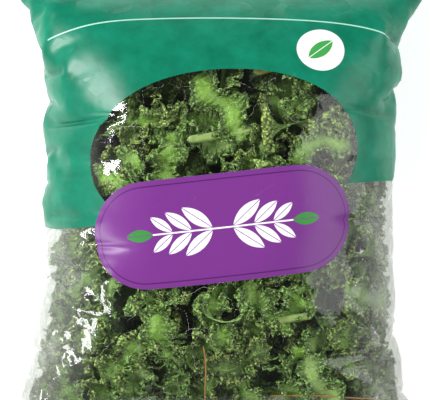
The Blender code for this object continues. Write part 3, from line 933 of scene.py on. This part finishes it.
def kale_finish():
    """Curly kale leaf, chopped raw: waxy blue-green blade, paler and yellower at the margin, partly its
    own colour and partly a painted highlight on the curls' edges, with a pale rib and fine side veins.
    The wax makes it matte with a soft sheen."""
    made, tree = new_material("raw_kale_leaf")
    reach, tone = (
        add(tree, "Attribute", attribute_name=name).outputs["Fac"] for name in ("reach", "tone")
    )
    spot = add(tree, "TexCoord").outputs["Object"]
    patches = add(tree, "TexNoise", {"Vector": spot, "Scale": 90.0, "Detail": 3.0})
    # Side veins about 4 mm apart, drawn at a slant from the rib
    place = add(tree, "UVMap", uv_map="flat")
    slant = {"Vector": place, "Scale": (9.0, 6.0, 1.0), "Rotation": (0, 0, 0.6)}
    slanted = add(tree, "Mapping", slant)
    veins = add(tree, "TexVoronoi", {"Vector": slanted, "Scale": 1.6}, feature="DISTANCE_TO_EDGE")
    # The margin's finest curls, lobes of about 1.6 mm with painted shade in the gaps between them
    lobe_size = {"Vector": spot, "Scale": 600.0, "Smoothness": 0.6}
    lobes = add(tree, "TexVoronoi", lobe_size, feature="SMOOTH_F1")
    # Each share: what it reads, from where to where, and the share at both ends
    light, is_pale, pale_edge_and_highlight, to_rib, vein, gap, at_margin = (
        add(tree, "MapRange", reading, interpolation_type=kind)
        for kind, *reading in (
            ("LINEAR", tone, 0.0, 1.0, 0.45, 1.35),  # leaves differ in how far their patches are lit
            ("LINEAR", tone, 0.80, 0.88, 0.0, 0.6),  # one leaf in six is paler and greyer
            ("SMOOTHSTEP", reach, 0.45, 1.0, 0.0, 0.85),
            ("SMOOTHSTEP", reach, 0.0, 0.06, 0.8, 0.0),
            ("LINEAR", veins, 0.0, 0.08, 0.22, 0.0),
            ("SMOOTHSTEP", lobes, 0.25, 0.62, 0.0, 1.0),
            ("LINEAR", reach, 0.2, 0.7, 0.0, 0.8),
        )
    )
    lit = add(tree, "Math", [patches, light], operation="MULTIPLY")
    # Painted shade: the gaps between the margin's lobes are darkened towards #0c1a06, where shade falls
    # between the curls; the same gaps also sink in the bump
    shaded_gaps = add(tree, "Math", [gap, at_margin], operation="MULTIPLY")
    # Painted highlight: the margins are paler and yellower than the blade, partly the leaf's own colour
    # and partly a painted highlight on the edges of the curls, brightest at the very edge
    margins = {"Factor": tone, 6: linear("#d0ee78"), 7: linear("#9bd364")}
    margin = add(tree, "Mix", margins, data_type="RGBA")
    colour = linear("#152e08")
    for share, over in (
        (lit, linear("#91c744")),
        (is_pale, linear("#9cbb70")),
        (pale_edge_and_highlight, margin),
        (to_rib, linear("#7f9c58")),
        (vein, linear("#a5bd7c")),
        (shaded_gaps, linear("#0c1a06")),
    ):
        colour = add(tree, "Mix", {"Factor": share, 6: colour, 7: over}, data_type="RGBA")
    # Blisters between the veins, from about 4 mm down to 1 mm
    grain = {"Vector": spot, "Scale": 260.0, "Detail": 3.0, "Roughness": 0.6}
    raised = add(tree, "Math", [add(tree, "TexNoise", grain), 2.4], operation="MULTIPLY")
    relief = add(tree, "Math", [raised, shaded_gaps], operation="SUBTRACT")
    bump = add(tree, "Bump", {"Height": relief, "Strength": 0.9, "Distance": 0.0010})
    shader = add(
        tree,
        "BsdfPrincipled",
        {
            "Base Color": colour,
            "Roughness": 0.36,
            "Normal": bump,
            "Specular IOR Level": 0.45,
            "Sheen Weight": 0.1,
            "Sheen Roughness": 0.4,
        },
    )
    add(tree, "OutputMaterial", {"Surface": shader})
    return made


def stem_finish():
    """Cut kale stem: pale green and fibrous, a little browned at places, with a waxy sheen."""
    made, tree = new_material("cut_kale_stem")
    spot = add(tree, "TexCoord").outputs["Object"]
    long = add(tree, "Mapping", {"Vector": spot, "Scale": (1.0, 0.15, 1.0)})
    fibres = add(tree, "TexNoise", {"Vector": long, "Scale": 900.0, "Detail": 3.0})
    stain = add(tree, "TexNoise", {"Vector": spot, "Scale": 120.0})
    stained = add(tree, "MapRange", [stain, 0.58, 0.72, 0.0, 0.7])
    brown = add(tree, "Attribute", attribute_name="brown").outputs["Fac"]
    browned = add(tree, "Math", [stained, brown], operation="MAXIMUM")
    colour = linear("#7c9c4e")
    for share, over in ((fibres, "#a6bd74"), (browned, "#a8682c")):
        colour = add(tree, "Mix", {"Factor": share, 6: colour, 7: linear(over)}, data_type="RGBA")
    bump = add(tree, "Bump", {"Height": fibres, "Strength": 0.4, "Distance": 0.0003})
    shader = add(tree, "BsdfPrincipled", {"Base Color": colour, "Roughness": 0.38, "Normal": bump})
    add(tree, "OutputMaterial", {"Surface": shader})
    return made


# The print, in millimetres on the flat film: X from the middle of the front and Y from the middle of
# the length. Turns are in degrees.
GREEN_EDGE = (4.0, 17.0)  # where the green block starts, and how far its edge swings round the tube
WINDOW = ((2, 34), 5, 80.0, 50.0)  # centre, turn, half length and half width
PANEL = ((2, -9), 7, 45.0, 31.0)  # centre, turn, half length between its round ends, radius
STITCH_IN = 3.2  # from the panel's edge in to its stitched line
STITCH_HALF = 0.35  # half that line's width
SPRIG_STEM = ((2, -9), 7, 40.0, 0.45)  # a bar, as the panel is
SPRIG_LEAN = 38  # of its leaves, out from the stem
SPRIG_PAIRS = ((6, 21), (18, 18), (29, 15))  # where a pair starts along the stem, and its length
STEM_GAP = 0.8  # from the stem to a leaf's foot
LEAF_WIDTH = 0.36  # of its length
END_LEAF = (48, 0, 0, 16, 7)  # a leaf in line with the stem, at each end
BADGE = ((58, 98), 0, 0.0, 14.0)  # a bar of no length, which is a disc
BADGE_LEAF = ((58, 98), 40, 19, 9)  # centre, turn, length and width
ARC = (122.0, -0.0011, 104.0)  # its middle, its bend, and how far it reaches to each side
ARC_HALF = 0.45  # half its width
RIB_LINE = 0.22  # half the width of a printed leaf's bare midrib
INK_EDGE = 0.12  # half the width over which an edge fades


def sprig_leaf(along, aside, lean, length, width):
    """Centre, turn, length and width of a printed leaf, from its place along and beside the stem."""
    (middle_x, middle_y), degrees = SPRIG_STEM[:2]
    turn = math.radians(degrees)
    x = middle_x + along * math.cos(turn) - aside * math.sin(turn)
    y = middle_y + along * math.sin(turn) + aside * math.cos(turn)
    return (x, y), degrees + lean, length, width


def sprig_leaves():
    """Three pairs of leaves each side of the middle, each pair smaller, which lean out from the
    stem."""
    lean = math.radians(SPRIG_LEAN)
    return [
        sprig_leaf(
            side * (start + length / 2 * math.cos(lean)),
            lift * (STEM_GAP + length / 2 * math.sin(lean)),
            lift * side * SPRIG_LEAN,
            length,
            LEAF_WIDTH * length,
        )
        for side in (-1, 1)
        for start, length in SPRIG_PAIRS
        for lift in (1, -1)
    ]


def round_centre(tree, flat, centre, turn):
    """X and Y in millimetres from a centre, turned back by an angle."""
    place = {"Vector": flat, "Location": (*centre, 0), "Rotation": (0, 0, math.radians(turn))}
    moved = add(tree, "Mapping", place, vector_type="TEXTURE")
    return add(tree, "SeparateXYZ", [moved]).outputs[:2]


def leaf_outline(tree, flat, centre, turn, length, width):
    """Signed distance to a pointed leaf, the overlap of two equal circles whose radius follows from
    its size, with a bare line along its middle."""
    radius = (length**2 / width + width) / 4
    x, y = round_centre(tree, flat, centre, turn)
    aside = add(tree, "Math", [y], operation="ABSOLUTE")
    away = add(tree, "Math", [aside, radius - width / 2], operation="ADD")
    far = add(tree, "VectorMath", [add(tree, "CombineXYZ", [x, away])], operation="LENGTH")
    blade = add(tree, "Math", [far, radius], operation="SUBTRACT")
    rib = add(tree, "Math", [RIB_LINE, aside], operation="SUBTRACT")
    return add(tree, "Math", [blade, rib], operation="MAXIMUM")


def all_leaves(tree, flat, leaves):
    """Signed distance to the nearest of several leaves."""
    nearest = leaf_outline(tree, flat, *leaves[0])
    for leaf in leaves[1:]:
        more = leaf_outline(tree, flat, *leaf)
        nearest = add(tree, "Math", [nearest, more], operation="MINIMUM")
    return nearest


def bar_outline(tree, flat, centre, turn, half_length, radius):
    """Signed distance to a bar with round ends, which is a disc where its half length is 0."""
    x, y = round_centre(tree, flat, centre, turn)
    along = add(tree, "Math", [x], operation="ABSOLUTE")
    past = add(tree, "Math", [along, half_length], operation="SUBTRACT")
    past = add(tree, "Math", [past, 0.0], operation="MAXIMUM")
    far = add(tree, "VectorMath", [add(tree, "CombineXYZ", [past, y])], operation="LENGTH")
    return add(tree, "Math", [far, radius], operation="SUBTRACT")


def oval_outline(tree, flat, centre, turn, half_length, half_width):
    """About the signed distance to an oval: its scaled radius less 1, times its half width."""
    place = add(tree, "CombineXYZ", round_centre(tree, flat, centre, turn))
    scale = (1 / half_length, 1 / half_width, 0)
    scaled = add(tree, "VectorMath", [place, scale], operation="MULTIPLY")
    far = add(tree, "VectorMath", [scaled], operation="LENGTH")
    return add(tree, "Math", [far, half_width, -half_width], operation="MULTIPLY_ADD")


def line_outline(tree, distance, middle, half_width):
    """Signed distance to a line that follows an outline at some distance outside it."""
    off = add(tree, "Math", [distance, middle], operation="SUBTRACT")
    off = add(tree, "Math", [off], operation="ABSOLUTE")
    return add(tree, "Math", [off, half_width], operation="SUBTRACT")


def bag_print(tree, flat):
    """The print's colour, and how much of the film it covers.

    Everything above a slow wave round the tube is green, but for a clear oval window. A purple bar
    with round ends carries a sprig of leaves, and a badge and a thin arc lie on the green. Each motif
    is painted over the last where its signed distance is below 0.
    """
    x, y = add(tree, "SeparateXYZ", [flat]).outputs[:2]
    turn = add(tree, "Math", [x, math.pi / (1000 * FLAT_WIDTH)], operation="MULTIPLY")
    wave = add(tree, "Math", [turn], operation="SINE")
    start, swing = GREEN_EDGE
    low_edge = add(tree, "Math", [wave, swing, start], operation="MULTIPLY_ADD")
    green = add(tree, "Math", [low_edge, y], operation="SUBTRACT")
    window = add(tree, "Math", [oval_outline(tree, flat, *WINDOW), -1.0], operation="MULTIPLY")
    block = add(tree, "Math", [green, window], operation="MAXIMUM")
    panel = bar_outline(tree, flat, *PANEL)
    printed = add(tree, "Math", [block, panel], operation="MINIMUM")
    covered = add(tree, "MapRange", [printed, -INK_EDGE, INK_EDGE, 1.0, 0.0])

    middle, bend, reach = ARC
    squared = add(tree, "Math", [x, x], operation="MULTIPLY")
    arc_y = add(tree, "Math", [squared, bend, middle], operation="MULTIPLY_ADD")
    over_arc = add(tree, "Math", [y, arc_y], operation="SUBTRACT")
    aside = add(tree, "Math", [x], operation="ABSOLUTE")
    past_arc = add(tree, "Math", [aside, reach], operation="SUBTRACT")
    arc = line_outline(tree, over_arc, 0.0, ARC_HALF)
    arc = add(tree, "Math", [arc, past_arc], operation="MAXIMUM")
    stem = bar_outline(tree, flat, *SPRIG_STEM)
    sprig = add(tree, "Math", [stem, all_leaves(tree, flat, sprig_leaves())], operation="MINIMUM")
    ends = [sprig_leaf(side * END_LEAF[0], *END_LEAF[1:]) for side in (-1, 1)]

    # Painted light and shade: the green is made lighter and darker over 10 to 20 mm, where the leaves'
    # lumps under the film catch the light unevenly
    shading_noise = add(tree, "TexNoise", {"Vector": flat, "Scale": 0.06, "Detail": 5.0, "Roughness": 0.6})
    painted_shading = add(tree, "MapRange", [shading_noise, 0.3, 0.7])
    greens = {"Factor": painted_shading, 6: linear("#02664c"), 7: linear("#0f7f62")}
    ink = add(tree, "Mix", greens, data_type="RGBA")
    for outline, colour in (
        (arc, "#a9d9c6"),
        (bar_outline(tree, flat, *BADGE), "#f1f4ef"),
        (leaf_outline(tree, flat, *BADGE_LEAF), "#3f9a4c"),
        (panel, "#733384"),
        (line_outline(tree, panel, -STITCH_IN, STITCH_HALF), "#4e1f5e"),
        (sprig, "#f3f1f4"),
        (all_leaves(tree, flat, ends), "#3b8a3f"),
    ):
        share = add(tree, "MapRange", [outline, -INK_EDGE, INK_EDGE, 1.0, 0.0])
        ink = add(tree, "Mix", {"Factor": share, 6: ink, 7: linear(colour)}, data_type="RGBA")
    return ink, covered


FACET_BEND = 0.030  # how far noise bends the facets' edges
FACET_LEAN = 150.0  # how steeply a facet leans


def film_finish():
    """Oriented polypropylene film, 40 micrometres, blown thin and printed on a roll: clear and glossy
    with sharp creases, and a little milky where it stands off the leaves. The ink lies under the
    gloss and hides what is behind it."""
    made, tree = new_material("printed_polypropylene_film")
    uv = add(tree, "UVMap", uv_map="flat")
    corner = (-1000 * FLAT_WIDTH, -500 * PRINT_LENGTH, 0)
    size = (2000 * FLAT_WIDTH, 1000 * PRINT_LENGTH, 0)
    flat = add(tree, "Mapping", {"Vector": uv, "Location": corner, "Scale": size})
    ink, covered = bag_print(tree, flat)

    air = add(tree, "Attribute", attribute_name="air").outputs["Fac"]
    haze = add(tree, "MapRange", [air, 0.0, 1.0, 0.0, 0.24])
    spot = add(tree, "TexCoord").outputs["Object"]
    fine = add(tree, "TexNoise", {"Vector": spot, "Scale": 130.0, "Detail": 3.0})
    # Facets of about 20 mm with sharp creases round them, where the film stands off the leaves: each
    # leans its own way, by the dot product of its colour with the way from its middle
    drift = add(tree, "TexNoise", {"Vector": spot, "Scale": 45.0, "Detail": 2.0}).outputs["Color"]
    bent = add(tree, "VectorMath", [drift, (FACET_BEND,) * 3, spot], operation="MULTIPLY_ADD")
    facets = add(tree, "TexVoronoi", {"Vector": bent, "Scale": 50.0}).outputs
    way = add(tree, "VectorMath", [bent, facets["Position"]], operation="SUBTRACT")
    leaning = add(tree, "VectorMath", [facets["Color"], (0.5, 0.5, 0.5)], operation="SUBTRACT")
    slope = add(tree, "VectorMath", [way, leaning], operation="DOT_PRODUCT")
    loose = add(tree, "Math", [air, 0.85, 0.15], operation="MULTIPLY_ADD")
    creased = add(tree, "Math", [slope, loose], operation="MULTIPLY")
    creased = add(tree, "Math", [creased, FACET_LEAN], operation="MULTIPLY")
    relief = add(tree, "Math", [fine, 0.10, creased], operation="MULTIPLY_ADD")
    bump = add(tree, "Bump", {"Height": relief, "Strength": 1.0, "Distance": 0.0026})
    # Ink stiffens the film, so its creases are softer
    soft_bump = add(tree, "Bump", {"Height": relief, "Strength": 0.5, "Distance": 0.0014})
    look = {"Base Color": ink, "Roughness": 0.28, "Specular IOR Level": 0.24, "Normal": soft_bump}
    inked = add(tree, "BsdfPrincipled", look)
    # Where it is crumpled, the film takes some light away and looks grey against a bright ground
    greys = {"Factor": air, 6: linear("#fdfdfd"), 7: linear("#dfe2de")}
    clear = add(tree, "BsdfTransparent", {"Color": add(tree, "Mix", greys, data_type="RGBA")})
    look = {"Base Color": linear("#d3d7cf"), "Roughness": 0.35, "Normal": bump}
    hazy = add(tree, "MixShader", [haze, clear, add(tree, "BsdfPrincipled", look)])
    gloss = add(tree, "BsdfGlossy", {"Color": (1, 1, 1, 1), "Roughness": 0.08, "Normal": bump})
    # The same gloss from both sides of a thin film: 3.5% head on, rising by the fifth power
    facing = add(tree, "LayerWeight", {"Blend": 0.5, "Normal": bump}).outputs["Facing"]
    rising = add(tree, "Math", [facing, 5.0], operation="POWER")
    shine = add(tree, "Math", [rising, 0.9, 0.035], operation="MULTIPLY_ADD")
    bare = add(tree, "MixShader", [shine, hazy, gloss])
    surface = add(tree, "MixShader", [covered, bare, inked])
    add(tree, "OutputMaterial", {"Surface": surface})
    return made


def paper_floor():
    """Matt white paper, smooth and bright, with a grain too faint to see from afar. It glows a little,
    as a lit table does, so that it stays white under the dim sky."""
    made, tree = new_material("matt_paper_floor")
    spot = add(tree, "TexCoord").outputs["Object"]
    grain = add(tree, "TexNoise", {"Vector": spot, "Scale": 400.0})
    whites = {"Factor": grain, 6: linear("#fbfbfb"), 7: linear("#ffffff")}
    shader = add(
        tree,
        "BsdfPrincipled",
        {
            "Base Color": add(tree, "Mix", whites, data_type="RGBA"),
            "Roughness": 0.9,
            "Emission Color": (1, 1, 1, 1),
            "Emission Strength": 0.38,
        },
    )
    add(tree, "OutputMaterial", {"Surface": shader})
    return made


FLOOR_HALF = 3
CAMERA_RANGE = 1.15  # from the camera down to the bag's widest level
VIEW_WIDTH = 0.258  # 430 pixels of 0.6 mm
VIEW_CENTRE = (-0.0036, 0.0066)
SENSOR = 36.0
SOFT_BOXES = (  # name, place, size and power; all are aimed at the middle of the bag
    ("box_left", (-0.85, 0.50, 0.80), (0.22, 0.60), 15.0),
    ("box_low_left", (-0.98, -0.42, 0.66), (0.17, 0.55), 7.0),
    ("box_right", (1.05, 0.10, 0.85), (1.00, 1.50), 14.0),
)


def studio():
    """A pale floor, soft boxes at the sides with a dim sky between them, and a camera straight
    above."""
    scene = bpy.context.scene
    scene.view_settings.view_transform = "Standard"
    corners = FLOOR_HALF * np.array([(-1, -1, 0), (1, -1, 0), (1, 1, 0), (-1, 1, 0)], float)
    quad_piece("floor", corners, np.array([[0, 1, 2, 3]]), paper_floor())

    world = bpy.data.worlds.new("studio")
    world.use_nodes = True
    tree = world.node_tree
    tree.nodes.clear()
    way = add(tree, "TexCoord").outputs["Generated"]
    _, along, rise = add(tree, "SeparateXYZ", [way]).outputs
    # The sky is dim overhead, and dark flags stand at both ends of the bag, so that the film mirrors
    # little there
    aside = add(tree, "Math", [along], operation="ABSOLUTE")
    dim, flags = (
        add(tree, "MapRange", reading, interpolation_type="SMOOTHSTEP")
        for reading in ((rise, 0.60, 0.95, 0.52, 0.1), (aside, 0.25, 0.75, 1.0, 0.35))
    )
    strength = add(tree, "Math", [dim, flags], operation="MULTIPLY")
    sky = add(tree, "Background", {"Color": (1, 1, 1, 1), "Strength": strength})
    add(tree, "OutputWorld", {"Surface": sky})
    scene.world = world
    for name, place, size, power in SOFT_BOXES:
        lamp = bpy.data.lights.new(name, "AREA")
        lamp.shape = "RECTANGLE"
        lamp.size, lamp.size_y = size
        lamp.energy = power
        holder = bpy.data.objects.new(name, lamp)
        scene.collection.objects.link(holder)
        holder.location = place
        aim = np.array((0, 0, SIDE_RISE)) - np.array(place)
        yaw = math.atan2(aim[1], aim[0])
        tilt = math.acos(-aim[2] / np.linalg.norm(aim))
        holder.rotation_euler = (0, -tilt, yaw)

    lens = bpy.data.cameras.new("camera")
    lens.sensor_width = SENSOR
    lens.lens = SENSOR * CAMERA_RANGE / VIEW_WIDTH
    camera = bpy.data.objects.new("camera", lens)
    camera.location = (*VIEW_CENTRE, SIDE_RISE + CAMERA_RANGE)
    scene.collection.objects.link(camera)
    scene.camera = camera


def main():
    """Builds the studio, the film and the kale."""
    studio()
    printed_film = film_finish()
    film, tube, flat = build_film(printed_film)
    keep_piece(film, "film", "bag_film")
    keep_piece(build_fin(tube, flat, printed_film), "film")
    build_kale(kale_finish(), stem_finish(), film_room(tube))


main()
